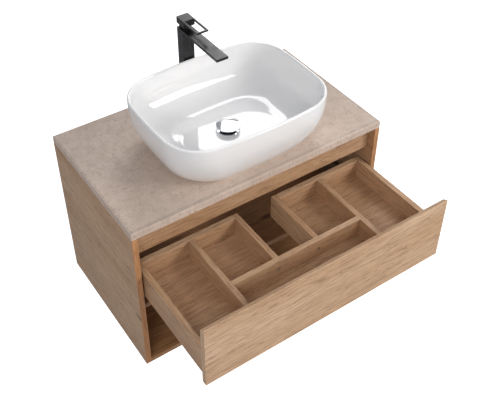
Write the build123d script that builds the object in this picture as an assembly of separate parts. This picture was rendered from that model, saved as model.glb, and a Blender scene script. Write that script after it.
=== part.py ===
"""Wall-hung bathroom vanity with a vessel basin, a tall single-lever tap and one wide drawer.

Units are millimetres. The origin is the centre of the four wall screws, on the wall plane: +X is to the
right, +Z is up, and the room is on the -Y side. The drawer is modelled pulled out by DRAWER_OPEN, and the
tap is closed. Every sub-part is one solid in its own STEP file. Right-hand solids are built, and their
left-hand twins are mirrored from them.
"""
import math
import os

from build123d import *

# Shared
PASS = 1.0                  # a cutting tool runs past the face it opens by this much

# Counter and carcase
COUNTER_LENGTH = 800.0
COUNTER_DEPTH = 460.0
COUNTER_THICKNESS = 22.0
COUNTER_EDGE = 1.2          # chamfer round the counter
BODY_HEIGHT = 498.0         # carcase, under the counter
BOARD = 16.0                # thickness of every board
EDGE = 0.6                  # eased edge of every board
RAIL_HEIGHT = 80.0          # upper rails, front and back
RAIL_SETBACK = 26.0         # front rail behind the carcase's front edges
BACK_SETBACK = 18.0         # back boards in front of the wall plane
SHELF_SETBACK = 18.0        # middle shelf behind the carcase's front edges
SHELF_GAP = 30.0            # runners to the middle shelf; the open niche takes the rest

# Wall fixing
FIXING_DROP = 60.0          # wall screws below the carcase's top
FIXING_INSET = 60.0         # screws' centre line to the carcase's outer side
SCREW_SPACING_Z = 40.0
SCREW_HOLE = 3.25           # radius
PLATE = 3.0                 # steel of plates and hooks
PLATE_WIDTH = 56.0
PLATE_HEIGHT = 66.0
LIP_REACH = 10.0            # front of the plate's lip, from the wall
LIP_DROP = 6.0              # lip's shelf below the plate's top
LIP_RISE = 3.0              # lip above the plate's top
HOOK = 4.0                  # thickness of the hanger's arm
HOOK_FINGER = 3.0           # thickness of its finger, behind the lip
HOOK_CLEARANCE = 0.6        # finger to lip
HOOK_FINGER_DROP = 5.0
HOOK_HALF = 10.0            # half the arm's width
SLOT_MARGIN = 3.0           # back rail's slot, round the arm
SLOT_HEIGHT = 24.0
HANGER_HALF = 12.0          # from the arm's middle to the hanger's inner side
HANGER_DEPTH = 34.0
HANGER_BELOW = 44.0         # hanger's body under the arm
HANGER_ABOVE = 12.0
HANGER_SCREW = 4.0          # radius of the two adjusting screws
HANGER_SCREW_HEAD = 1.5     # how far they stand out
HANGER_SCREW_DROPS = (8.0, 30.0)
MOULDED_EDGE = 0.8          # chamfer on moulded fittings

# Drawer
DRAWER_OPEN = 298.0         # how far the drawer stands out in this pose
FRONT_TOP_DROP = 42.0       # top of the drawer front below the carcase's top
FRONT_HEIGHT = 208.0
FRONT_GAP = 2.0             # drawer front to side panel
FINGER_BEVEL = 9.0          # drop of the bevelled top edge from its face to its back
FINGER_FLAT = 1.5           # width of the flat left along the top
BOX_GAP = 5.0               # drawer side to side panel
BOX_DEPTH = 334.0           # drawer box behind the front
BOX_TOP_DROP = 90.0         # top of the drawer box below the top of its front
BOX_HEIGHT = 77.0           # from the floor's underside to the top of the box
SIDE_SKIRT = 13.0           # drawer sides below the floor, which hides the runners
DIVIDER_OFFSET = 216.0      # long dividers, centre line from the middle
TRAY_DEPTH = 124.0          # front tray, from the drawer front to the cross divider
SIPHON_WIDTH = 116.0        # clear width of the trap cut-out
DIVIDER_SCREW = 4.5         # radius of the head
DIVIDER_SCREW_HEAD = 0.8    # how far it stands out
DIVIDER_SCREW_KEY = 2.2     # its six-sided socket
DIVIDER_SCREW_KEY_DEPTH = 0.5

# Runners, under the drawer's floor
RUNNER_LENGTH = 330.0
RUNNER_STEEL = 1.6
RUNNER_HEIGHT = 30.0
RUNNER_CLEAR = 0.8          # between sliding profiles
RUNNER_SETBACK = 4.0        # closed, behind the drawer front
RUNNER_CAP_WIDTH = 26.0     # the drawer's profile
RUNNER_CAP_HEIGHT = 12.0
RUNNER_CAP_GAP = 1.0        # the drawer's profile to its side
RUNNER_LIP = 8.0            # height of the fixed profile's channel sides
RUNNER_FLANGE_DROP = 4.0    # fixed profile's flange below the drawer's side
CLIP_WIDTH = 26.0
CLIP_LENGTH = 52.0
CLIP_HEIGHT = 11.0
CLIP_GAP = 2.0              # clip to runner
CLIP_LEVER_WIDTH = 14.0
CLIP_LEVER = (18.0, 40.0)   # its start and end behind the drawer front
CLIP_LEVER_DROPS = (4.0, 8.0)

# Basin
BASIN_LENGTH = 496.0
BASIN_WIDTH = 384.0
BASIN_HEIGHT = 157.0
BASIN_FLARE = 50.0          # rim beyond the foot
BASIN_FLARE_CURVE = 2.6     # how quickly the flare dies out towards the rim
BASIN_CORNER = 109.0
BASIN_CORNER_GROWTH = 0.15  # corner radius gained for each millimetre of flare
BASIN_CORNER_LIMIT = 0.85   # most of an outline's half width that its corners take
BASIN_SIDE_RADIUS = 1400.0  # the slightly bowed sides
BASIN_WALL = 9.0
BASIN_FLOOR = 32.0          # inside floor above the counter
BASIN_FRONT_OVERHANG = 11.5 # rim in front of the counter
BASIN_FOOT = 14.0           # width of the foot ring
BASIN_RECESS = 14.0         # hollow under the floor, inside the foot
BOWL_TURN = 74.0            # how far the bowl turns in from wall to floor
BOWL_TURN_SHARE = 0.6       # share of the bowl's depth in which it turns
BOWL_TURN_CORNER = 0.4      # corner radius lost for each millimetre of the turn
OUTSIDE_STEPS = (0, 0.06, 0.16, 0.32, 0.52, 0.75, 1)
BOWL_STEPS = (0, 0.02, 0.07, 0.15, 0.27, 0.45, 0.7, 1)
GASKET_THICKNESS = 2.0

# Waste
WASTE_HOLE_GAP = 1.55       # waste's thread to the basin's hole
COUNTER_HOLE_GAP = 5.05     # waste's thread to the counter's hole
WASTE_FLANGE = 32.5         # radius
WASTE_FLANGE_HEIGHT = 3.0
WASTE_FLANGE_EDGE = 1.2
WASTE_TAIL = 20.95          # radius of the G 1 1/4 outer thread
WASTE_BORE = 17.0           # radius inside
WASTE_BELOW_NUT = 29.0      # thread under the backnut
WASTE_END = 22.0            # full thread left free for a trap, under a relief groove
WASTE_GROOVE = 3.0          # height of the groove
WASTE_GROOVE_DEPTH = 0.8
GUIDE_DROP = 16.0           # stem guide below the flange's top
GUIDE_HEIGHT = 10.0
GUIDE_WALL = 3.0
GUIDE_ARMS = 3
WASHER_THICKNESS = 3.0
BACKNUT_HEIGHT = 10.0
BACKNUT_RADIUS = 31.5       # to the corners
CAP_RADIUS = 33.0
CAP_EDGE = 4.0
CAP_DOME = 2.5
CAP_CHAMFER = 0.8
CAP_SEAL = 2.0              # rubber ring under the cap
CAP_SEAL_WIDTH = 8.0
CAP_SKIRT_GAP = 2.0         # bore to the boss that carries the ring
CAP_SKIRT_DROP = 3.0        # boss below the ring
CAP_CLOSED_GAP = 0.3        # ring above the flange when the plug is down
CAP_TRAVEL = 7.0            # this pose is the open one
PLUG_STEM = 4.0             # radius
PLUG_STEM_CLEARANCE = 0.05
PLUG_STEM_BELOW = 4.0       # stem below its guide

# Tap
TAP_WIDTH = 36.0
TAP_DEPTH = 30.0
TAP_EDGE = 0.8
TAP_BEHIND_BASIN = 2.5      # column to rim
TAP_BASE_MARGIN = 1.6       # base plate beyond the column's corners
TAP_BASE_HEIGHT = 4.0
TAP_BASE_EDGE = 1.0
TAP_HOLE = 17.5             # radius through the counter
SPOUT_TOP = 251.0           # above the counter
SPOUT_THICKNESS = 8.0
SPOUT_REACH = 173.0         # from the column's front face to the tip
AERATOR_LENGTH = 14.0
AERATOR_WIDTH = 22.0
AERATOR_HEIGHT = 4.0
AERATOR_FROM_TIP = 16.0     # its middle
AERATOR_HOLE = 0.9          # radius
AERATOR_HOLE_DEPTH = 3.0
AERATOR_COLUMNS = (7, 2.8)  # number and pitch across the spout
AERATOR_ROWS = (3, 3.6)     # number and pitch along it
BONNET_WIDTH = 26.0
BONNET_DEPTH = 22.0
BONNET_HEIGHT = 6.0
LEVER_GAP = 12.0            # lever block above the spout
LEVER_HEIGHT = 19.5
LEVER_BLOCK_DEPTH = 37.0
LEVER_LENGTH = 108.0        # block and loop
LEVER_BAR = 5.0
LEVER_EDGE = 0.5
LEVER_POCKET = 21.0         # side of the square pocket over the stem
LEVER_POCKET_DEPTH = 12.0
PIVOT_RISE = 2.0            # axle above the lever's underside
TAP_STEM = 7.0              # radius
TAP_STEM_FOOT = 0.5         # stem above the cartridge
TAP_STEM_HEAD = 5.5         # stem above its axle
TAP_STEM_GAP = 1.0          # round the stem in the spout and collar
AXLE_RADIUS = 1.5
AXLE_CLEARANCE = 0.05
AXLE_SETBACK = 3.0          # axle's ends behind the lever's sides
CARTRIDGE_RADIUS = 12.5
CARTRIDGE_LENGTH = 40.0
INLET_RADIUS = 4.5          # M10 x 1 thread's inner size
INLET_DEPTH = 14.0          # into the column
INLET_GAP = 0.2             # inlets' bores to the corners of the stud's nut
STUD_RADIUS = 3.0
STUD_DEPTH = 14.0           # into the column
STUD_BELOW_NUT = 20.0
CLAMP_THICKNESS = 3.0
CLAMP_HOLE_MARGIN = 0.5     # round the inlets
TAP_NUT_RADIUS = 5.8        # to the corners
TAP_NUT_HEIGHT = 12.0

# Heights and lines that follow from the sizes above
BODY_TOP = FIXING_DROP
COUNTER_TOP = BODY_TOP + COUNTER_THICKNESS
BODY_BOTTOM = BODY_TOP - BODY_HEIGHT
HALF = COUNTER_LENGTH / 2
INNER = HALF - BOARD
FRONT_LINE = -COUNTER_DEPTH
BACK_LINE = -BACK_SETBACK

FIXING_X = HALF - FIXING_INSET
HOOK_Z = PLATE_HEIGHT / 2 + LIP_RISE
LIP_BACK = PLATE - LIP_REACH

FRONT_BACK_Y = FRONT_LINE + BOARD - DRAWER_OPEN
FRONT_TOP = BODY_TOP - FRONT_TOP_DROP
BOX_TOP = FRONT_TOP - BOX_TOP_DROP
BOX_BOTTOM = BOX_TOP - BOX_HEIGHT
SIDE_BOTTOM = BOX_BOTTOM - SIDE_SKIRT
BOX_BACK_Y = FRONT_BACK_Y + BOX_DEPTH
BOX_HALF = INNER - BOX_GAP
BOX_INNER = BOX_HALF - BOARD
FLOOR_TOP = BOX_BOTTOM + BOARD
CROSS_FRONT_Y = FRONT_BACK_Y + TRAY_DEPTH
CROSS_BACK_Y = CROSS_FRONT_Y + BOARD
SIPHON_INNER = SIPHON_WIDTH / 2
SIPHON_OUTER = SIPHON_INNER + BOARD
DIVIDER_INNER = DIVIDER_OFFSET - BOARD / 2

RUNNER_TOP = BOX_BOTTOM
RUNNER_BOTTOM = RUNNER_TOP - RUNNER_HEIGHT
SHELF_TOP = RUNNER_BOTTOM - SHELF_GAP
SHELF_BOTTOM = SHELF_TOP - BOARD
RUNNER_FRONT = FRONT_LINE + BOARD + RUNNER_SETBACK
RUNNER_BACK = RUNNER_FRONT + RUNNER_LENGTH
CAP_X1 = BOX_INNER - RUNNER_CAP_GAP
CAP_X0 = CAP_X1 - RUNNER_CAP_WIDTH
MIDDLE_X1 = CAP_X1 - RUNNER_STEEL - RUNNER_CLEAR
MIDDLE_X0 = CAP_X0 + RUNNER_STEEL + RUNNER_CLEAR

BASIN_Y = FRONT_LINE - BASIN_FRONT_OVERHANG + BASIN_WIDTH / 2
RIM_RADIUS = BASIN_WALL / 2
RIM_HEIGHT = BASIN_HEIGHT - RIM_RADIUS
FLANGE_BOTTOM = COUNTER_TOP + BASIN_FLOOR
FLANGE_TOP = FLANGE_BOTTOM + WASTE_FLANGE_HEIGHT
WASTE_BOTTOM = BODY_TOP - WASHER_THICKNESS - BACKNUT_HEIGHT - WASTE_BELOW_NUT
WASTE_HOLE = WASTE_TAIL + WASTE_HOLE_GAP
COUNTER_WASTE_HOLE = WASTE_TAIL + COUNTER_HOLE_GAP
CAP_SKIRT = WASTE_BORE - CAP_SKIRT_GAP
GUIDE_TOP = FLANGE_TOP - GUIDE_DROP
GUIDE_BOTTOM = GUIDE_TOP - GUIDE_HEIGHT
CAP_SEAT = FLANGE_TOP + CAP_CLOSED_GAP + CAP_SEAL + CAP_TRAVEL

INLET_X = TAP_NUT_RADIUS + INLET_RADIUS + INLET_GAP
TAP_Y = BASIN_Y + BASIN_WIDTH / 2 + TAP_BEHIND_BASIN + TAP_DEPTH / 2
TAP_BASE_RADIUS = math.hypot(TAP_WIDTH / 2, TAP_DEPTH / 2) + TAP_BASE_MARGIN
COLUMN_FRONT = TAP_Y - TAP_DEPTH / 2
COLUMN_BACK = TAP_Y + TAP_DEPTH / 2
COLUMN_BOTTOM = COUNTER_TOP + TAP_BASE_HEIGHT
SPOUT_UPPER = COUNTER_TOP + SPOUT_TOP
SPOUT_BOTTOM = SPOUT_UPPER - SPOUT_THICKNESS
SPOUT_TIP = COLUMN_FRONT - SPOUT_REACH
AERATOR_Y = SPOUT_TIP + AERATOR_FROM_TIP
LEVER_BOTTOM = SPOUT_UPPER + LEVER_GAP
LEVER_TOP = LEVER_BOTTOM + LEVER_HEIGHT
PIVOT_Z = LEVER_BOTTOM + PIVOT_RISE


# ---------------------------------------------------------------- shapes

def block(x0, x1, y0, y1, z0, z1, ease=0.0):
    """A block between two corners, with chamfered edges if ease is given."""
    centre = Pos((x0 + x1) / 2, (y0 + y1) / 2, (z0 + z1) / 2)
    solid = centre * Box(abs(x1 - x0), abs(y1 - y0), abs(z1 - z0))
    return chamfer(solid.edges(), ease) if ease else solid


def board(x0, x1, y0, y1, z0, z1):
    """A board between two corners, with eased edges."""
    return block(x0, x1, y0, y1, z0, z1, EDGE)


def rod(radius, z0, z1, x=0.0, y=0.0):
    """A round bar along Z."""
    return Pos(x, y, (z0 + z1) / 2) * Cylinder(radius, z1 - z0)


def tube(outer, inner, z0, z1, y):
    """A round tube along Z, on the middle plane."""
    return rod(outer, z0, z1, 0, y) - rod(inner, z0 - PASS, z1 + PASS, 0, y)


def hexagon(radius, z0, z1, y):
    """A six-sided bar along Z, on the middle plane."""
    return Pos(0, y, z0) * extrude(RegularPolygon(radius, 6), amount=z1 - z0)


def cross_rod(radius, length, x, y, z):
    """A round bar along Y."""
    return Pos(x, y, z) * Rot(90, 0, 0) * Cylinder(radius, length)


def axle_rod(radius, length):
    """A round bar along X, on the lever's axis."""
    return Pos(0, TAP_Y, PIVOT_Z) * Rot(0, 90, 0) * Cylinder(radius, length)


# ---------------------------------------------------------------- carcase

def side_panel():
    return board(INNER, HALF, FRONT_LINE, 0, BODY_BOTTOM, BODY_TOP)


def bottom_panel():
    return board(-INNER, INNER, FRONT_LINE, BACK_LINE, BODY_BOTTOM, BODY_BOTTOM + BOARD)


def middle_shelf():
    return board(-INNER, INNER, FRONT_LINE + SHELF_SETBACK, BACK_LINE, SHELF_BOTTOM, SHELF_TOP)


def top_front_rail():
    front = FRONT_LINE + RAIL_SETBACK
    return board(-INNER, INNER, front, front + BOARD, BODY_TOP - RAIL_HEIGHT, BODY_TOP)


def top_back_rail():
    """The rear rail, with a slot at each end for a hanger's hook."""
    rail = board(-INNER, INNER, BACK_LINE - BOARD, BACK_LINE, BODY_TOP - RAIL_HEIGHT, BODY_TOP)
    half = HOOK_HALF + SLOT_MARGIN
    middle = HOOK_Z + HOOK
    for x in (-FIXING_X, FIXING_X):
        rail -= block(x - half, x + half, BACK_LINE - BOARD - PASS, BACK_LINE + PASS,
                      middle - SLOT_HEIGHT / 2, middle + SLOT_HEIGHT / 2)
    return rail


def niche_back():
    return board(-INNER, INNER, BACK_LINE - BOARD, BACK_LINE, BODY_BOTTOM + BOARD, SHELF_BOTTOM)


def countertop():
    """The stone-look top, drilled for the tap and the waste."""
    top = block(-HALF, HALF, FRONT_LINE, 0, BODY_TOP, COUNTER_TOP, COUNTER_EDGE)
    for radius, y in ((COUNTER_WASTE_HOLE, BASIN_Y), (TAP_HOLE, TAP_Y)):
        top -= rod(radius, BODY_TOP - PASS, COUNTER_TOP + PASS, 0, y)
    return top


# ---------------------------------------------------------------- wall fixing

def wall_plate():
    """A steel plate with two screw holes and an upturned lip along its top."""
    x0, x1 = FIXING_X - PLATE_WIDTH / 2, FIXING_X + PLATE_WIDTH / 2
    top = PLATE_HEIGHT / 2
    shelf = top - LIP_DROP
    plate = block(x0, x1, -PLATE, 0, -top, top)
    plate += block(x0, x1, -LIP_REACH, -PLATE, shelf - PLATE, shelf)
    plate += block(x0, x1, -LIP_REACH, LIP_BACK, shelf - PLATE, HOOK_Z)
    for z in (-SCREW_SPACING_Z / 2, SCREW_SPACING_Z / 2):
        plate -= cross_rod(SCREW_HOLE, PLATE + 2 * PASS, FIXING_X, -PLATE / 2, z)
    return plate


def hanger():
    """The adjustable hanger: a body on the side panel, and a hook through the back rail."""
    back = BACK_LINE - BOARD
    front = back - HANGER_DEPTH
    left, right = FIXING_X - HOOK_HALF, FIXING_X + HOOK_HALF
    finger = LIP_BACK + HOOK_CLEARANCE
    solid = block(FIXING_X - HANGER_HALF, INNER, front, back,
                  HOOK_Z - HANGER_BELOW, HOOK_Z + HANGER_ABOVE, MOULDED_EDGE)
    solid += block(left, right, back - HOOK_HALF, finger + HOOK_FINGER, HOOK_Z, HOOK_Z + HOOK)
    solid += block(left, right, finger, finger + HOOK_FINGER, HOOK_Z - HOOK_FINGER_DROP, HOOK_Z + HOOK)
    for drop in HANGER_SCREW_DROPS:
        solid += cross_rod(HANGER_SCREW, 2 * HANGER_SCREW_HEAD, FIXING_X, front, HOOK_Z - drop)
    return solid


# ---------------------------------------------------------------- drawer

def drawer_front():
    """The inset front, with its top edge bevelled as a finger pull."""
    half = INNER - FRONT_GAP
    face = FRONT_BACK_Y - BOARD
    bottom = FRONT_TOP - FRONT_HEIGHT
    outline = Polyline(
        (face, bottom), (FRONT_BACK_Y, bottom), (FRONT_BACK_Y, FRONT_TOP - FINGER_BEVEL),
        (face + FINGER_FLAT, FRONT_TOP), (face, FRONT_TOP), close=True)
    front = Pos(-half, 0, 0) * extrude(Plane.YZ * make_face(outline), amount=2 * half)
    return chamfer(front.edges(), EDGE)


def drawer_side():
    return board(BOX_INNER, BOX_HALF, FRONT_BACK_Y, BOX_BACK_Y, SIDE_BOTTOM, BOX_TOP)


def drawer_back():
    return board(SIPHON_OUTER, BOX_INNER, BOX_BACK_Y - BOARD, BOX_BACK_Y, BOX_BOTTOM, BOX_TOP)


def drawer_floor():
    """The drawer's bottom board, cut out at the back for the trap."""
    floor = board(-BOX_INNER, BOX_INNER, FRONT_BACK_Y, BOX_BACK_Y - BOARD, BOX_BOTTOM, FLOOR_TOP)
    return floor - block(-SIPHON_OUTER, SIPHON_OUTER, CROSS_BACK_Y, BOX_BACK_Y,
                         BOX_BOTTOM - PASS, FLOOR_TOP + PASS)


def long_divider():
    return board(DIVIDER_INNER, DIVIDER_INNER + BOARD, FRONT_BACK_Y, BOX_BACK_Y - BOARD, FLOOR_TOP, BOX_TOP)


def cross_divider():
    return board(-DIVIDER_INNER, DIVIDER_INNER, CROSS_FRONT_Y, CROSS_BACK_Y, FLOOR_TOP, BOX_TOP)


def siphon_side():
    return board(SIPHON_INNER, SIPHON_OUTER, CROSS_BACK_Y, BOX_BACK_Y, BOX_BOTTOM, BOX_TOP)


def divider_screw():
    """The screw that holds a trap side to the cross divider; its head stands just proud."""
    x = (SIPHON_INNER + SIPHON_OUTER) / 2
    z = (FLOOR_TOP + BOX_TOP) / 2
    face = CROSS_FRONT_Y - DIVIDER_SCREW_HEAD
    head = cross_rod(DIVIDER_SCREW, DIVIDER_SCREW_HEAD, x, face + DIVIDER_SCREW_HEAD / 2, z)
    key = extrude(RegularPolygon(DIVIDER_SCREW_KEY, 6), amount=DIVIDER_SCREW_KEY_DEPTH, both=True)
    return head - Pos(x, face, z) * Rot(90, 0, 0) * key


# ---------------------------------------------------------------- runners

def runner_cabinet():
    """The fixed profile: a flange on the side panel, a base under the drawer's side, and a channel."""
    bottom = RUNNER_BOTTOM
    flange_top = SIDE_BOTTOM - RUNNER_FLANGE_DROP
    solid = block(CAP_X0, INNER, RUNNER_FRONT, RUNNER_BACK, bottom, bottom + RUNNER_STEEL)
    for x, top in ((CAP_X0, bottom + RUNNER_LIP), (CAP_X1 - RUNNER_STEEL, bottom + RUNNER_LIP),
                   (INNER - RUNNER_STEEL, flange_top)):
        solid += block(x, x + RUNNER_STEEL, RUNNER_FRONT, RUNNER_BACK, bottom, top)
    return solid


def runner_middle():
    """The middle profile: a box section that telescopes half as far as the drawer."""
    y0, y1 = RUNNER_FRONT - DRAWER_OPEN / 2, RUNNER_BACK - DRAWER_OPEN / 2
    z0 = RUNNER_BOTTOM + RUNNER_STEEL + RUNNER_CLEAR
    z1 = RUNNER_TOP - RUNNER_STEEL - RUNNER_CLEAR
    outside = block(MIDDLE_X0, MIDDLE_X1, y0, y1, z0, z1)
    return outside - block(MIDDLE_X0 + RUNNER_STEEL, MIDDLE_X1 - RUNNER_STEEL, y0 - PASS, y1 + PASS,
                           z0 + RUNNER_STEEL, z1 - RUNNER_STEEL)


def runner_drawer():
    """The drawer's profile: a cap over the middle profile, under the drawer's floor."""
    front = RUNNER_FRONT - DRAWER_OPEN
    cap = block(CAP_X0, CAP_X1, front, BOX_BACK_Y, RUNNER_TOP - RUNNER_STEEL, RUNNER_TOP)
    for x in (CAP_X0, CAP_X1 - RUNNER_STEEL):
        cap += block(x, x + RUNNER_STEEL, front, BOX_BACK_Y, RUNNER_TOP - RUNNER_CAP_HEIGHT, RUNNER_TOP)
    return cap


def front_clip():
    """The locking clip between a runner and the drawer front."""
    x1 = CAP_X0 - CLIP_GAP
    x0 = x1 - CLIP_WIDTH
    start, end = CLIP_LEVER
    upper, lower = CLIP_LEVER_DROPS
    clip = block(x0, x1, FRONT_BACK_Y, FRONT_BACK_Y + CLIP_LENGTH,
                 BOX_BOTTOM - CLIP_HEIGHT, BOX_BOTTOM, MOULDED_EDGE)
    return clip + block(x0 - CLIP_LEVER_WIDTH, x0, FRONT_BACK_Y + start, FRONT_BACK_Y + end,
                        BOX_BOTTOM - lower, BOX_BOTTOM - upper, MOULDED_EDGE)


# ---------------------------------------------------------------- basin

def soft_outline(inset, corner, height):
    """A closed outline above the counter: four bowed sides and four round corners, all tangent."""
    half_x, half_y, big = BASIN_LENGTH / 2 - inset, BASIN_WIDTH / 2 - inset, BASIN_SIDE_RADIUS - inset
    corner = min(corner, BASIN_CORNER_LIMIT * min(half_x, half_y))
    ax, by = half_x - big, half_y - big
    # the corner's centre is as far from the side arc's centre (ax, 0) as from the end arc's (0, by)
    span = math.hypot(ax, by)
    rise = math.sqrt((big - corner) ** 2 - (span / 2) ** 2)
    cx = ax / 2 - by / span * rise
    cy = by / 2 - ax / span * rise
    first, last = math.atan2(cy, cx - ax), math.atan2(cy - by, cx)
    corner_angles = (first, (first + last) / 2, last)
    side, middle, end = [(cx + corner * math.cos(a), cy + corner * math.sin(a)) for a in corner_angles]

    arcs = [
        ThreePointArc((side[0], -side[1]), (half_x, 0), side),
        ThreePointArc(side, middle, end),
        ThreePointArc(end, (0, half_y), (-end[0], end[1])),
        ThreePointArc((-end[0], end[1]), (-middle[0], middle[1]), (-side[0], side[1])),
        ThreePointArc((-side[0], side[1]), (-half_x, 0), (-side[0], -side[1])),
        ThreePointArc((-side[0], -side[1]), (-middle[0], -middle[1]), (-end[0], -end[1])),
        ThreePointArc((-end[0], -end[1]), (0, -half_y), (end[0], -end[1])),
        ThreePointArc((end[0], -end[1]), (middle[0], -middle[1]), (side[0], -side[1])),
    ]
    return Pos(0, BASIN_Y, COUNTER_TOP + height) * Wire([arc.edge() for arc in arcs])


def flare(height):
    """How far the outside stands in from the rim, at a height above the counter."""
    return BASIN_FLARE * max(0.0, 1 - height / RIM_HEIGHT) ** BASIN_FLARE_CURVE


def outside_corner(height):
    """The outside's corner radius at a height above the counter."""
    return BASIN_CORNER + BASIN_CORNER_GROWTH * flare(height)


def foot_face(inset):
    """The foot's outline on the counter, moved in, as a face."""
    return Face(soft_outline(flare(0) + inset, outside_corner(0) - inset, 0))


def basin_outside():
    """Nearly upright at the rim, curving in to the foot."""
    heights = [RIM_HEIGHT * step for step in OUTSIDE_STEPS]
    return loft([Face(soft_outline(flare(h), outside_corner(h), h)) for h in heights])


def basin_bowl():
    """The hollow: it follows the outside and turns in to a wide flat floor."""
    sections = []
    for step in BOWL_STEPS:
        height = BASIN_FLOOR + step * (RIM_HEIGHT - BASIN_FLOOR)
        turn = BOWL_TURN * max(0.0, 1 - math.sqrt(step / BOWL_TURN_SHARE)) ** 2
        corner = outside_corner(height) - BASIN_WALL - BOWL_TURN_CORNER * turn
        sections.append(Face(soft_outline(flare(height) + BASIN_WALL + turn, corner, height)))
    return loft(sections)


def basin_rim():
    """The rounded top edge, half a round bar that runs along the wall's middle."""
    path = soft_outline(RIM_RADIUS, BASIN_CORNER - RIM_RADIUS, RIM_HEIGHT)
    across = Plane(origin=path @ 0, x_dir=(0, 0, 1), z_dir=path % 0)
    arc = ThreePointArc((0, -RIM_RADIUS), (RIM_RADIUS, 0), (0, RIM_RADIUS))
    half_disc = make_face([arc, Line((0, RIM_RADIUS), (0, -RIM_RADIUS))])
    return sweep(across * half_disc, path=path)


def basin():
    """The vessel basin: a thin-walled bowl on a foot ring, drilled for the waste."""
    shell = basin_outside() - basin_bowl() + basin_rim()
    shell -= extrude(foot_face(BASIN_FOOT), amount=GASKET_THICKNESS)
    shell -= extrude(foot_face(2 * BASIN_FOOT), amount=BASIN_RECESS)
    return shell - rod(WASTE_HOLE, COUNTER_TOP - PASS, FLANGE_BOTTOM + PASS, 0, BASIN_Y)


def basin_gasket():
    """The soft ring under the basin, inside its foot ring."""
    outer = extrude(foot_face(BASIN_FOOT), amount=GASKET_THICKNESS)
    return outer - extrude(foot_face(2 * BASIN_FOOT), amount=GASKET_THICKNESS)


# ---------------------------------------------------------------- waste

def waste_body():
    """The flange and the threaded tube, with a three-armed guide for the plug's stem."""
    flange = rod(WASTE_FLANGE, FLANGE_BOTTOM, FLANGE_TOP, 0, BASIN_Y)
    body = chamfer(flange.edges().group_by(Axis.Z)[-1], WASTE_FLANGE_EDGE)
    body += rod(WASTE_TAIL, WASTE_BOTTOM, FLANGE_BOTTOM, 0, BASIN_Y)
    groove = WASTE_BOTTOM + WASTE_END
    body -= tube(WASTE_TAIL + PASS, WASTE_TAIL - WASTE_GROOVE_DEPTH, groove, groove + WASTE_GROOVE, BASIN_Y)
    body -= rod(WASTE_BORE, WASTE_BOTTOM - PASS, FLANGE_TOP + PASS, 0, BASIN_Y)

    arm_length = WASTE_BORE + PASS
    guide = rod(PLUG_STEM + GUIDE_WALL, GUIDE_BOTTOM, GUIDE_TOP, 0, BASIN_Y)
    for arm in range(GUIDE_ARMS):
        turned = Pos(0, BASIN_Y, (GUIDE_TOP + GUIDE_BOTTOM) / 2) * Rot(0, 0, 90 + 360 / GUIDE_ARMS * arm)
        guide += turned * Pos(arm_length / 2, 0, 0) * Box(arm_length, GUIDE_WALL, GUIDE_HEIGHT)
    body += guide & rod(WASTE_BORE + PASS, GUIDE_BOTTOM, GUIDE_TOP, 0, BASIN_Y)
    return body - rod(PLUG_STEM + PLUG_STEM_CLEARANCE, GUIDE_BOTTOM - PASS, GUIDE_TOP + PASS, 0, BASIN_Y)


def waste_cap():
    """The click-clack plug: a low dome on a stem."""
    top = CAP_SEAT + CAP_EDGE
    edge = rod(CAP_RADIUS, CAP_SEAT, top, 0, BASIN_Y)
    edge = chamfer(edge.edges().group_by(Axis.Z)[0], CAP_CHAMFER)
    sphere_radius = (CAP_RADIUS ** 2 + CAP_DOME ** 2) / (2 * CAP_DOME)
    dome = Pos(0, BASIN_Y, top + CAP_DOME - sphere_radius) * Sphere(sphere_radius)
    dome &= rod(CAP_RADIUS, top, top + 2 * CAP_DOME, 0, BASIN_Y)
    skirt = rod(CAP_SKIRT, CAP_SEAT - CAP_SEAL - CAP_SKIRT_DROP, CAP_SEAT, 0, BASIN_Y)
    return edge + dome + skirt + rod(PLUG_STEM, GUIDE_BOTTOM - PLUG_STEM_BELOW, CAP_SEAT, 0, BASIN_Y)


def waste_cap_seal():
    """The plug's rubber ring, round the skirt."""
    return tube(CAP_SKIRT + CAP_SEAL_WIDTH, CAP_SKIRT, CAP_SEAT - CAP_SEAL, CAP_SEAT, BASIN_Y)


def waste_washer():
    return tube(WASTE_FLANGE, WASTE_TAIL, BODY_TOP - WASHER_THICKNESS, BODY_TOP, BASIN_Y)


def waste_backnut():
    """The hexagonal backnut under the counter."""
    top = BODY_TOP - WASHER_THICKNESS
    nut = hexagon(BACKNUT_RADIUS, top - BACKNUT_HEIGHT, top, BASIN_Y)
    return nut - rod(WASTE_TAIL, top - BACKNUT_HEIGHT - PASS, top + PASS, 0, BASIN_Y)


# ---------------------------------------------------------------- tap

def stud_and_inlets(bottom, stud_top, inlet_top, margin=0.0):
    """The bores that the stud and the two inlets run in, from below."""
    bores = rod(STUD_RADIUS, bottom, stud_top, 0, TAP_Y)
    for x in (-INLET_X, INLET_X):
        bores += rod(INLET_RADIUS + margin, bottom, inlet_top, x, TAP_Y)
    return bores


def tap_column():
    """The upright body on its round base, bored for the cartridge, the stud and two inlets."""
    column = block(-TAP_WIDTH / 2, TAP_WIDTH / 2, COLUMN_FRONT, COLUMN_BACK, COLUMN_BOTTOM, SPOUT_BOTTOM)
    column = chamfer(column.edges().filter_by(Axis.Z), TAP_EDGE)
    column -= rod(CARTRIDGE_RADIUS, SPOUT_BOTTOM - CARTRIDGE_LENGTH, SPOUT_BOTTOM + PASS, 0, TAP_Y)
    stud_top, inlet_top = COLUMN_BOTTOM + STUD_DEPTH, COLUMN_BOTTOM + INLET_DEPTH
    return column - stud_and_inlets(COLUMN_BOTTOM - PASS, stud_top, inlet_top)


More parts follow.
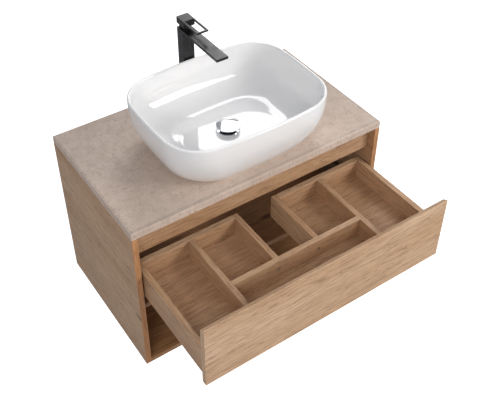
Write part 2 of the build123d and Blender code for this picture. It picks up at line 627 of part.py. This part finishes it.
def tap_base():
    """The round base plate between the counter and the column."""
    plate = rod(TAP_BASE_RADIUS, COUNTER_TOP, COLUMN_BOTTOM, 0, TAP_Y)
    plate = chamfer(plate.edges().group_by(Axis.Z)[-1], TAP_BASE_EDGE)
    return plate - stud_and_inlets(COUNTER_TOP - PASS, COLUMN_BOTTOM + PASS, COLUMN_BOTTOM + PASS)


def aerator_block():
    """The aerator's outside, and its pocket in the spout."""
    return block(-AERATOR_WIDTH / 2, AERATOR_WIDTH / 2, AERATOR_Y - AERATOR_LENGTH / 2,
                 AERATOR_Y + AERATOR_LENGTH / 2, SPOUT_BOTTOM, SPOUT_BOTTOM + AERATOR_HEIGHT)


def tap_spout():
    """The flat spout, flush with the column's sides, with a stem bore and an aerator pocket."""
    spout = block(-TAP_WIDTH / 2, TAP_WIDTH / 2, SPOUT_TIP, COLUMN_BACK, SPOUT_BOTTOM, SPOUT_UPPER, TAP_EDGE)
    spout -= rod(TAP_STEM + TAP_STEM_GAP, SPOUT_BOTTOM - PASS, SPOUT_UPPER + PASS, 0, TAP_Y)
    return spout - aerator_block()


def tap_aerator():
    """The outlet insert, pierced by rows of small holes."""
    insert = aerator_block()
    (columns, pitch_x), (rows, pitch_y) = AERATOR_COLUMNS, AERATOR_ROWS
    for column in range(columns):
        for row in range(rows):
            x = (column - (columns - 1) / 2) * pitch_x
            y = AERATOR_Y + (row - (rows - 1) / 2) * pitch_y
            insert -= rod(AERATOR_HOLE, SPOUT_BOTTOM - PASS, SPOUT_BOTTOM + AERATOR_HOLE_DEPTH, x, y)
    return insert


def tap_bonnet():
    """The collar between the spout and the lever."""
    top = SPOUT_UPPER + BONNET_HEIGHT
    collar = block(-BONNET_WIDTH / 2, BONNET_WIDTH / 2, TAP_Y - BONNET_DEPTH / 2, TAP_Y + BONNET_DEPTH / 2,
                   SPOUT_UPPER, top, LEVER_EDGE)
    return collar - rod(TAP_STEM + TAP_STEM_GAP, SPOUT_UPPER - PASS, top + PASS, 0, TAP_Y)


def tap_cartridge():
    return rod(CARTRIDGE_RADIUS, SPOUT_BOTTOM - CARTRIDGE_LENGTH, SPOUT_BOTTOM, 0, TAP_Y)


def tap_stem():
    """The turning stem, cross-drilled for the lever's axle."""
    stem = rod(TAP_STEM, SPOUT_BOTTOM + TAP_STEM_FOOT, PIVOT_Z + TAP_STEM_HEAD, 0, TAP_Y)
    return stem - axle_rod(AXLE_RADIUS + AXLE_CLEARANCE, 2 * (TAP_STEM + PASS))


def tap_lever():
    """The lever: a block over the stem, carrying an open rectangular loop."""
    half = TAP_WIDTH / 2
    front = COLUMN_BACK - LEVER_BLOCK_DEPTH
    tip = COLUMN_BACK - LEVER_LENGTH
    under_loop = LEVER_TOP - LEVER_BAR
    loop = block(-half, half, tip, front, under_loop, LEVER_TOP)
    loop -= block(-half + LEVER_BAR, half - LEVER_BAR, tip + LEVER_BAR, front,
                  under_loop - PASS, LEVER_TOP + PASS)
    lever = block(-half, half, front, COLUMN_BACK, LEVER_BOTTOM, LEVER_TOP) + loop
    lever = chamfer(lever.edges(), LEVER_EDGE)
    pocket = LEVER_POCKET / 2
    lever -= block(-pocket, pocket, TAP_Y - pocket, TAP_Y + pocket,
                   LEVER_BOTTOM - PASS, LEVER_BOTTOM + LEVER_POCKET_DEPTH)
    return lever - tap_axle()


def tap_axle():
    return axle_rod(AXLE_RADIUS, TAP_WIDTH - 2 * AXLE_SETBACK)


def tap_stud():
    bottom = BODY_TOP - 2 * CLAMP_THICKNESS - TAP_NUT_HEIGHT - STUD_BELOW_NUT
    return rod(STUD_RADIUS, bottom, COLUMN_BOTTOM + STUD_DEPTH, 0, TAP_Y)


def clamp_plate(top):
    """A disc under the counter with a hole for the stud and one for each inlet hose."""
    disc = rod(TAP_BASE_RADIUS, top - CLAMP_THICKNESS, top, 0, TAP_Y)
    return disc - stud_and_inlets(top - CLAMP_THICKNESS - PASS, top + PASS, top + PASS, CLAMP_HOLE_MARGIN)


def tap_rubber():
    return clamp_plate(BODY_TOP)


def tap_clamp():
    return clamp_plate(BODY_TOP - CLAMP_THICKNESS)


def tap_nut():
    top = BODY_TOP - 2 * CLAMP_THICKNESS
    nut = hexagon(TAP_NUT_RADIUS, top - TAP_NUT_HEIGHT, top, TAP_Y)
    return nut - rod(STUD_RADIUS, top - TAP_NUT_HEIGHT - PASS, top + PASS, 0, TAP_Y)


# ---------------------------------------------------------------- export

PAIRS = (
    side_panel, wall_plate, hanger, drawer_side, drawer_back, long_divider, siphon_side, divider_screw,
    runner_cabinet, runner_middle, runner_drawer, front_clip,
)
SINGLES = (
    bottom_panel, middle_shelf, top_front_rail, top_back_rail, niche_back, countertop, drawer_front,
    drawer_floor, cross_divider, basin, basin_gasket, waste_body, waste_cap, waste_cap_seal, waste_washer,
    waste_backnut, tap_column, tap_base, tap_spout, tap_aerator, tap_bonnet, tap_cartridge, tap_stem,
    tap_lever, tap_axle, tap_stud, tap_rubber, tap_clamp, tap_nut,
)


def main():
    os.makedirs("parts", exist_ok=True)
    for make in SINGLES:
        export_step(Part() + make(), f"parts/{make.__name__}.step")
    for make in PAIRS:
        right = make()
        export_step(Part() + right, f"parts/{make.__name__}_right.step")
        export_step(Part() + mirror(right, about=Plane.YZ), f"parts/{make.__name__}_left.step")


main()
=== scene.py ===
"""Looks for the wall-hung vanity with its vessel basin, tall tap and open drawer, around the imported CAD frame."""
import math

import bpy
from mathutils import Euler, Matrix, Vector


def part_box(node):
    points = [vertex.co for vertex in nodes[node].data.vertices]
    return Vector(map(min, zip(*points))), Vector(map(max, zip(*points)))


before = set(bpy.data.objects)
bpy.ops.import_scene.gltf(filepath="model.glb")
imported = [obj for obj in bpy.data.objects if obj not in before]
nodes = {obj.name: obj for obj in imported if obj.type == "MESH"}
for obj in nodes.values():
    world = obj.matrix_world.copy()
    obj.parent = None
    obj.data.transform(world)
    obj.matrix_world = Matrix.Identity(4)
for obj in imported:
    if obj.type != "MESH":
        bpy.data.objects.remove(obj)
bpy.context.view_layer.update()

scene = bpy.context.scene

# ---------------------------------------------------------------- camera

camera_data = bpy.data.cameras.new("camera")
camera = bpy.data.objects.new("camera", camera_data)
scene.collection.objects.link(camera)
scene.camera = camera
camera.location = (-0.940904, -1.734363, 1.490151)
camera.rotation_euler = Euler([math.radians(a) for a in (50.20745, -0.22025, -34.33658)])
camera_data.sensor_width = 36.0
camera_data.lens = 57.999
camera_data.shift_x = 0.008143
camera_data.shift_y = -0.10495
camera_data.clip_end = 60.0

# ---------------------------------------------------------------- stage and light

FLOOR_BELOW_COUNTER = 0.85
FLOOR_REACH = 14.0    # half the floor's side, in metres


def link(obj):
    scene.collection.objects.link(obj)
    return obj


def mesh_object(name, verts, faces):
    mesh = bpy.data.meshes.new(name)
    mesh.from_pydata(verts, [], faces)
    mesh.update()
    return link(bpy.data.objects.new(name, mesh))


floor_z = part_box("countertop")[1].z - FLOOR_BELOW_COUNTER
corners = ((-1, -1), (1, -1), (1, 1), (-1, 1))
floor = mesh_object("floor", [(FLOOR_REACH * x, FLOOR_REACH * y, floor_z) for x, y in corners], [(0, 1, 2, 3)])
floor.visible_diffuse = False
floor.visible_glossy = False


def area_light(name, location, target, size, size_y, power, colour=(1, 1, 1)):
    data = bpy.data.lights.new(name, "AREA")
    data.shape = "RECTANGLE"
    data.size, data.size_y = size, size_y
    data.energy = power
    data.color = colour
    obj = link(bpy.data.objects.new(name, data))
    obj.location = location
    aim = Vector(target) - Vector(location)
    obj.rotation_euler = aim.to_track_quat("-Z", "Y").to_euler()
    return obj


area_light("front_key", (1.7, -2.5, 1.5), (0.0, -0.5, -0.05), 1.2, 1.2, 46.0, (1.0, 0.98, 0.955))
low_front = area_light("low_front", (0.3, -3.0, 0.15), (0.0, -0.4, 0.05), 1.4, 0.8, 9.0)
area_light("back_key", (1.5, 1.5, 2.3), (0.0, -0.3, 0.0), 1.3, 1.3, 30.0)
left_front = area_light("left_front", (-1.9, -1.9, 1.5), (0.0, -0.3, 0.05), 1.2, 1.2, 20.0, (1.0, 0.98, 0.95))
for fill in (low_front, left_front):    # fills that show no reflection of their own
    fill.visible_glossy = False

world = bpy.data.worlds.new("studio")
scene.world = world
world.use_nodes = True
background = world.node_tree.nodes["Background"]
background.inputs["Color"].default_value = (0.93, 0.95, 1.0, 1)
background.inputs["Strength"].default_value = 0.38
scene.view_settings.view_transform = "Standard"

# ---------------------------------------------------------------- node helpers


class Tree:
    """Short calls for building a shader's or a group's nodes."""

    def __init__(self, tree):
        self.tree = tree

    def add(self, kind, inputs=None, **settings):
        node = self.tree.nodes.new(kind)
        for key, value in settings.items():
            setattr(node, key, value)
        for key, value in (inputs or {}).items():
            socket = node.inputs[key]
            if isinstance(value, bpy.types.NodeSocket):
                self.tree.links.new(value, socket)
            else:
                socket.default_value = value
        return node

    def math(self, operation, a, b=0.0):
        return self.add("ShaderNodeMath", {0: a, 1: b, 2: 0.0}, operation=operation).outputs[0]

    def vector(self, operation, a, b=(0, 0, 0)):
        return self.add("ShaderNodeVectorMath", {0: a, 1: b}, operation=operation).outputs[0]

    def scaled(self, vector, scale, offset=(0, 0, 0)):
        return self.add("ShaderNodeMapping", {"Vector": vector, "Scale": scale, "Location": offset}).outputs[0]

    def noise(self, vector, scale=1.0, detail=2.0, roughness=0.5, distortion=0.0):
        node = self.add("ShaderNodeTexNoise", {"Vector": vector, "Scale": scale, "Detail": detail,
                                               "Roughness": roughness, "Distortion": distortion})
        return node.outputs["Fac"]

    def ramp(self, value, low, high, to_low=0.0, to_high=1.0, smooth=True):
        node = self.add("ShaderNodeMapRange", {"Value": value, "From Min": low, "From Max": high,
                                               "To Min": to_low, "To Max": to_high},
                        interpolation_type="SMOOTHSTEP" if smooth else "LINEAR")
        return node.outputs[0]

    def mix(self, factor, a, b, blend="MIX"):
        node = self.add("ShaderNodeMix", data_type="RGBA", blend_type=blend)
        for socket, value in ((node.inputs["Factor"], factor), (node.inputs[6], a), (node.inputs[7], b)):
            if isinstance(value, bpy.types.NodeSocket):
                self.tree.links.new(value, socket)
            else:
                socket.default_value = value
        return node.outputs[2]

    def bump(self, height, distance, strength=1.0):
        return self.add("ShaderNodeBump", {"Height": height, "Distance": distance, "Strength": strength}).outputs[0]


def rgb(r, g, b):
    """An sRGB colour of 0 to 255 as linear RGBA."""
    def linear(c):
        c /= 255
        return c / 12.92 if c <= 0.04045 else ((c + 0.055) / 1.055) ** 2.4
    return (linear(r), linear(g), linear(b), 1.0)


def material(name):
    """A new material: its tree helper and its Principled shader."""
    made = bpy.data.materials.new(name)
    made.use_nodes = True
    shader = made.node_tree.nodes["Principled BSDF"]
    return made, Tree(made.node_tree), shader


def object_point(t):
    return t.add("ShaderNodeTexCoord").outputs["Object"]


def connect(t, shader, **sockets):
    for name, value in sockets.items():
        t.tree.links.new(value, shader.inputs[name.replace("_", " ")])


# ---------------------------------------------------------------- oak

def oak_group():
    """Oak laminate in grain coordinates: X runs along the grain, Y across it, Z is the face's own layer."""
    group = bpy.data.node_groups.new("oak", "ShaderNodeTree")
    face = group.interface
    face.new_socket("Vector", in_out="INPUT", socket_type="NodeSocketVector")
    face.new_socket("Edge", in_out="INPUT", socket_type="NodeSocketFloat")
    face.new_socket("Color", in_out="OUTPUT", socket_type="NodeSocketColor")
    face.new_socket("Roughness", in_out="OUTPUT", socket_type="NodeSocketFloat")
    face.new_socket("Height", in_out="OUTPUT", socket_type="NodeSocketFloat")
    t = Tree(group)
    source = t.add("NodeGroupInput")
    vector, edge = source.outputs["Vector"], source.outputs["Edge"]

    # the grain wanders: a slow sideways drift, stronger in a few places where it bends round a knot
    drift = t.noise(t.scaled(vector, (2.6, 5.0, 3.0)), detail=2.0)
    bend = t.noise(t.scaled(vector, (9.0, 14.0, 3.0), (5, 2, 8)), detail=1.0)
    shift = t.math("ADD", t.math("MULTIPLY", drift, 0.045), t.math("MULTIPLY", bend, 0.010))
    grain = t.vector("ADD", vector, t.add("ShaderNodeCombineXYZ", {"Y": shift}).outputs[0])

    broad = t.noise(t.scaled(grain, (1.4, 8.0, 6.0)), detail=4.0, roughness=0.6)
    streak = t.noise(t.scaled(grain, (4.0, 85.0, 30.0), (3, 1, 2)), detail=4.0, roughness=0.7)
    line = t.noise(t.scaled(grain, (11.0, 330.0, 90.0), (7, 4, 9)), detail=3.0, roughness=0.7)
    pore = t.noise(t.scaled(grain, (26.0, 640.0, 200.0), (1, 8, 4)), detail=2.0, roughness=0.6)
    ring = t.noise(t.scaled(grain, (0.9, 26.0, 5.0), (9, 3, 1)), detail=1.0)
    ring = t.math("PINGPONG", t.math("MULTIPLY", ring, 5.0), 0.5)

    # dark spots: rare knots with a ring round them
    cell = t.add("ShaderNodeTexVoronoi", {"Vector": t.scaled(grain, (2.6, 7.0, 4.0), (0.35, 0.2, 0.7)),
                                          "Scale": 1.0, "Randomness": 1.0})
    knot = t.ramp(cell.outputs["Distance"], 0.015, 0.09, 1.0, 0.0)

    split = t.noise(t.scaled(grain, (3.2, 24.0, 8.0), (2, 6, 5)), detail=3.0, roughness=0.5)
    split = t.ramp(t.math("ABSOLUTE", t.math("SUBTRACT", split, 0.60)), 0.0, 0.006, 1.0, 0.0)

    light = rgb(222, 189, 156)
    mid = rgb(205, 168, 133)
    dark = rgb(176, 134, 98)
    colour = t.mix(t.ramp(broad, 0.34, 0.66), light, mid)
    colour = t.mix(t.ramp(streak, 0.45, 0.75, 0.0, 0.36), colour, dark)
    colour = t.mix(t.ramp(ring, 0.40, 0.5, 0.0, 0.26), colour, rgb(148, 108, 78))
    colour = t.mix(t.ramp(line, 0.46, 0.70, 0.0, 0.62), colour, rgb(148, 110, 80))
    colour = t.mix(t.ramp(pore, 0.54, 0.70, 0.0, 0.6), colour, rgb(116, 82, 58))
    colour = t.mix(t.math("MULTIPLY", split, 0.5), colour, rgb(108, 74, 50))
    colour = t.mix(t.math("MULTIPLY", knot, 0.8), colour, rgb(96, 62, 42))
    tinted = t.mix(1.0, colour, rgb(252, 226, 200), "MULTIPLY")
    colour = t.mix(edge, colour, tinted)

    fine = t.math("ADD", t.math("MULTIPLY", pore, 0.6), t.math("MULTIPLY", line, 0.4))
    rough = t.ramp(fine, 0.3, 0.7, 0.40, 0.58, smooth=False)
    result = t.add("NodeGroupOutput")
    for name, value in (("Color", colour), ("Roughness", rough), ("Height", fine)):
        group.links.new(value, result.inputs[name])
    return group


OAK = oak_group()
AXES = "XYZ"
# painted shade: the reddening that goes with a board's painted darkening
SHADE_WARMTH = 0.3    # how much redder a board gets as it gets darker
SQUARE_ON = 0.6    # a face belongs to an axis when its normal is at least this far along it


def oak_board(name, faces, offset, shade_tone=1.0, edge_band=0.0):
    """Oak for one board. faces gives the grain's axis on faces square to X, Y and Z, such as "YZY";
    the board's broad faces are those whose letter in it is upper case, and the others have the edge band."""
    made, t, shader = material("oak_" + name)
    point = t.add("ShaderNodeSeparateXYZ", {0: object_point(t)}).outputs
    normal = t.add("ShaderNodeSeparateXYZ", {0: t.add("ShaderNodeTexCoord").outputs["Normal"]}).outputs
    total, edge = None, None
    for axis in range(3):
        along = AXES.index(faces[axis].upper())
        across = 3 - axis - along
        facing = t.math("GREATER_THAN", t.math("ABSOLUTE", normal[axis]), SQUARE_ON)
        place = t.add("ShaderNodeCombineXYZ", {"X": point[along], "Y": point[across], "Z": point[axis]}).outputs[0]
        part = t.add("ShaderNodeVectorMath", {0: place, "Scale": facing}, operation="SCALE").outputs[0]
        total = part if total is None else t.vector("ADD", total, part)
        if faces[axis].islower():
            edge = facing if edge is None else t.math("ADD", edge, facing)
    group = t.add("ShaderNodeGroup", {}, node_tree=OAK)
    t.tree.links.new(t.vector("ADD", total, offset), group.inputs["Vector"])
    if edge_band:
        t.tree.links.new(t.math("MULTIPLY", edge, edge_band), group.inputs["Edge"])
    # painted shade: the oak is darkened and reddened by the board's shade tone
    shade_depth = 1 - shade_tone
    shade_tint = (shade_tone, shade_tone - shade_depth * SHADE_WARMTH, shade_tone - 2 * shade_depth * SHADE_WARMTH, 1.0)
    colour = t.mix(1.0, group.outputs["Color"], shade_tint, "MULTIPLY")
    connect(t, shader, Base_Color=colour, Roughness=group.outputs["Roughness"],
            Normal=t.bump(group.outputs["Height"], 0.0004, 0.5))
    shader.inputs["Specular IOR Level"].default_value = 0.35
    return made


# ---------------------------------------------------------------- other materials

def stroke(t, point, degrees, offset):
    """Short fine fibres lying one way across the top."""
    turned = t.add("ShaderNodeMapping", {"Vector": point, "Rotation": (0, 0, math.radians(degrees)),
                                         "Location": offset}).outputs[0]
    return t.noise(t.scaled(turned, (60.0, 330.0, 60.0)), 1.0, 2.0, 0.5, 0.6)


def stone():
    """Honed beige sintered stone: matted short fibres, faint clouds, rare hairlines, and edge seams."""
    made, t, shader = material("stone")
    point = object_point(t)
    cloud = t.noise(point, 4.0, 4.0, 0.55, 0.4)
    mottle = t.noise(point, 38.0, 5.0, 0.6)
    grit = t.noise(point, 620.0, 3.0, 0.6)
    fibre = None
    for degrees in (12, 57, 101, 148):
        one = stroke(t, point, degrees, (0.01 * degrees, 0.3, 0.1))
        fibre = one if fibre is None else t.math("MAXIMUM", fibre, one)
    warp = t.add("ShaderNodeTexNoise", {"Vector": point, "Scale": 6.0, "Detail": 3.0}).outputs["Color"]
    bent = t.vector("ADD", point, t.add("ShaderNodeVectorMath", {0: warp, "Scale": 0.12},
                                        operation="SCALE").outputs[0])
    vein_noise = t.noise(t.scaled(bent, (3.2, 1.3, 2.0), (0.3, 0.1, 0.5)), 1.0, 1.0)
    vein = t.ramp(t.math("ABSOLUTE", t.math("SUBTRACT", vein_noise, 0.5)), 0.0, 0.003, 1.0, 0.0)

    # the seams where the top's skin is mitred and glued, parallel to its edges
    low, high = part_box("countertop")
    axes = t.add("ShaderNodeSeparateXYZ", {0: point}).outputs
    seam = None
    for axis, edge, inset in ((0, low.x, 0.004), (0, high.x, -0.004), (1, low.y, 0.007), (1, low.y, 0.0115)):
        off = t.math("ABSOLUTE", t.math("SUBTRACT", axes[axis], edge + inset))
        line = t.ramp(off, 0.0003, 0.0009, 1.0, 0.0)
        seam = line if seam is None else t.math("MAXIMUM", seam, line)
    facing = t.add("ShaderNodeSeparateXYZ", {0: t.add("ShaderNodeTexCoord").outputs["Normal"]}).outputs[2]
    seam = t.math("MULTIPLY", seam, t.math("GREATER_THAN", facing, 0.9))

    colour = t.mix(t.ramp(cloud, 0.35, 0.65), rgb(212, 193, 179), rgb(200, 180, 165))
    colour = t.mix(t.ramp(mottle, 0.40, 0.68, 0.0, 0.4), colour, rgb(182, 162, 146))
    colour = t.mix(t.ramp(fibre, 0.60, 0.74, 0.0, 0.6), colour, rgb(160, 139, 122))
    colour = t.mix(t.ramp(grit, 0.55, 0.75, 0.0, 0.25), colour, rgb(226, 212, 200))
    colour = t.mix(t.math("MULTIPLY", vein, 0.22), colour, rgb(150, 132, 118))
    colour = t.mix(t.math("MULTIPLY", seam, 0.5), colour, rgb(96, 78, 66))
    height = t.math("SUBTRACT", t.math("MULTIPLY", grit, 0.4), t.math("MULTIPLY", fibre, 0.8))
    height = t.math("SUBTRACT", height, seam)
    connect(t, shader, Base_Color=colour, Roughness=t.ramp(mottle, 0.3, 0.7, 0.46, 0.62, smooth=False),
            Normal=t.bump(height, 0.0005, 0.5))
    return made


def ceramic():
    """White glaze with the faintest waviness and tone drift."""
    made, t, shader = material("white_glaze")
    point = object_point(t)
    drift = t.noise(point, 4.0, 2.0)
    wave = t.noise(point, 14.0, 2.0)
    speck = t.noise(point, 900.0, 2.0)
    colour = t.mix(t.ramp(drift, 0.3, 0.7), (0.93, 0.925, 0.92, 1), (0.91, 0.91, 0.915, 1))
    colour = t.mix(t.ramp(speck, 0.68, 0.8, 0.0, 0.08), colour, (0.7, 0.7, 0.7, 1))
    connect(t, shader, Base_Color=colour, Roughness=t.ramp(wave, 0.3, 0.7, 0.05, 0.09, smooth=False),
            Normal=t.bump(wave, 0.0006, 0.25))
    shader.inputs["Coat Weight"].default_value = 0.35
    shader.inputs["Coat Roughness"].default_value = 0.03
    return made


EDGE_HIGHLIGHT_RADIUS = 0.0015


def painted_edge_highlight(t):
    """Painted edge highlight, bright on edges: how far a small bevel turns the normal."""
    bevel = t.add("ShaderNodeBevel", {"Radius": EDGE_HIGHLIGHT_RADIUS}, samples=4).outputs[0]
    true = t.add("ShaderNodeNewGeometry").outputs["Normal"]
    dot = t.add("ShaderNodeVectorMath", {0: bevel, 1: true}, operation="DOT_PRODUCT").outputs["Value"]
    return t.ramp(dot, 0.72, 0.99, 1.0, 0.0)


def matt_black():
    """Powder-coated black: a very fine orange peel and greyer edges that are a painted highlight."""
    made, t, shader = material("matt_black")
    point = object_point(t)
    peel = t.noise(point, 1500.0, 2.0)
    cloud = t.noise(point, 40.0, 3.0)
    colour = t.mix(t.ramp(cloud, 0.3, 0.7), rgb(12, 11, 12), rgb(18, 17, 18))
    # painted highlight: the edges are painted greyer where the bevel turns the normal
    colour = t.mix(t.math("MULTIPLY", painted_edge_highlight(t), 0.2), colour, rgb(80, 78, 82))
    connect(t, shader, Base_Color=colour, Roughness=t.ramp(cloud, 0.3, 0.7, 0.26, 0.38, smooth=False),
            Normal=t.bump(peel, 0.00012, 0.3))
    return made


def metal(name, colour, other, low, high, stretch=(1, 1, 1), scale=300.0):
    """A metal with fine scratches along one way and a little stain."""
    made, t, shader = material(name)
    point = object_point(t)
    scratch = t.noise(t.scaled(point, stretch), scale, 3.0, 0.6)
    stain = t.noise(point, 35.0, 3.0)
    mixed = t.mix(t.ramp(stain, 0.35, 0.65), colour, other)
    connect(t, shader, Base_Color=mixed, Roughness=t.ramp(scratch, 0.3, 0.7, low, high, smooth=False),
            Normal=t.bump(scratch, 0.0001, 0.15))
    shader.inputs["Metallic"].default_value = 1.0
    return made


def plastic(name, colour, other, low=0.35, high=0.55):
    """Moulded plastic or rubber with a fine matt grain."""
    made, t, shader = material(name)
    point = object_point(t)
    grain = t.noise(point, 1100.0, 2.0)
    cloud = t.noise(point, 50.0, 3.0)
    mixed = t.mix(t.ramp(cloud, 0.35, 0.65), colour, other)
    connect(t, shader, Base_Color=mixed, Roughness=t.ramp(grain, 0.3, 0.7, low, high, smooth=False),
            Normal=t.bump(grain, 0.0002, 0.35))
    return made


def floor_material():
    made, t, shader = material("floor")
    speck = t.noise(object_point(t), 30.0, 4.0)
    colour = t.mix(t.ramp(speck, 0.3, 0.7), (0.80, 0.80, 0.80, 1), (0.83, 0.83, 0.83, 1))
    connect(t, shader, Base_Color=colour, Roughness=t.ramp(speck, 0.3, 0.7, 0.6, 0.7))
    shader.inputs["Emission Color"].default_value = (1, 1, 1, 1)
    shader.inputs["Emission Strength"].default_value = 0.85
    return made


floor.data.materials.append(floor_material())

STONE = stone()
GLAZE = ceramic()
BLACK = matt_black()
CHROME = metal("chrome", (0.82, 0.83, 0.85, 1), (0.76, 0.77, 0.79, 1), 0.04, 0.12)
BRASS = metal("brass", rgb(196, 160, 96), rgb(180, 142, 80), 0.2, 0.4)
ZINC = metal("zinc_steel", rgb(186, 188, 190), rgb(160, 162, 166), 0.25, 0.45, (1, 0.05, 1), 500.0)
RUBBER = plastic("rubber", rgb(30, 30, 31), rgb(42, 42, 43), 0.6, 0.8)
DARK_PLASTIC = plastic("black_plastic", rgb(28, 28, 30), rgb(38, 38, 40))
GREY_PLASTIC = plastic("grey_plastic", rgb(150, 152, 155), rgb(138, 140, 143))

FINISH = {
    "countertop": STONE, "basin": GLAZE, "basin_gasket": RUBBER,
    "waste_body": CHROME, "waste_cap": CHROME, "waste_cap_seal": RUBBER, "waste_washer": RUBBER,
    "waste_backnut": DARK_PLASTIC,
    "tap_column": BLACK, "tap_base": BLACK, "tap_spout": BLACK, "tap_bonnet": BLACK, "tap_lever": BLACK,
    "tap_aerator": DARK_PLASTIC, "tap_cartridge": GREY_PLASTIC, "tap_stem": BRASS, "tap_axle": ZINC,
    "tap_stud": BRASS, "tap_rubber": RUBBER, "tap_clamp": ZINC, "tap_nut": BRASS,
}
for stem, finish in (("wall_plate", ZINC), ("hanger", GREY_PLASTIC), ("runner_cabinet", ZINC),
                     ("runner_middle", ZINC), ("runner_drawer", ZINC), ("front_clip", DARK_PLASTIC),
                     ("divider_screw", ZINC)):
    for side in ("left", "right"):
        FINISH[f"{stem}_{side}"] = finish

# grain axis on faces square to X, Y and Z; lower case is an edge of the board
OAK_BOARDS = {
    "side_panel_left": "Yzy", "side_panel_right": "Yzy", "bottom_panel": "yxX", "middle_shelf": "yxX",
    "top_front_rail": "zXx", "top_back_rail": "zXx", "niche_back": "zXx", "drawer_front": "zXx",
    "drawer_side_left": "Yzy", "drawer_side_right": "Yzy", "drawer_back_left": "zXx",
    "drawer_back_right": "zXx", "drawer_floor": "yxX", "long_divider_left": "Yzy",
    "long_divider_right": "Yzy", "cross_divider": "zXx", "siphon_side_left": "Yzy",
    "siphon_side_right": "Yzy",
}
# painted shade per board: how much darker each board is painted, standing in for the shade inside the drawer and
# niche, under the counter and on the left side; 1 is the oak as mixed
PAINTED_SHADE_TONES = {
    "side_panel": 0.86, "drawer_front": 0.99, "top_front_rail": 0.80, "niche_back": 0.55,
    "bottom_panel": 0.6, "middle_shelf": 0.6,
}
# painted shade for the drawer's inside boards and every other board not listed above
DRAWER_PAINTED_SHADE = 0.86
for number, (name, faces) in enumerate(OAK_BOARDS.items()):
    shift = (1.37 * number % 5, 0.91 * number % 3, 2.13 * number % 7)
    stem = name.replace("_left", "").replace("_right", "")
    edge_band = 1.0 if stem == "side_panel" else 0.0
    FINISH[name] = oak_board(name, faces, shift, PAINTED_SHADE_TONES.get(stem, DRAWER_PAINTED_SHADE), edge_band)

for name, node in nodes.items():
    for slot_of in node.material_slots:
        slot_of.material = FINISH[name]
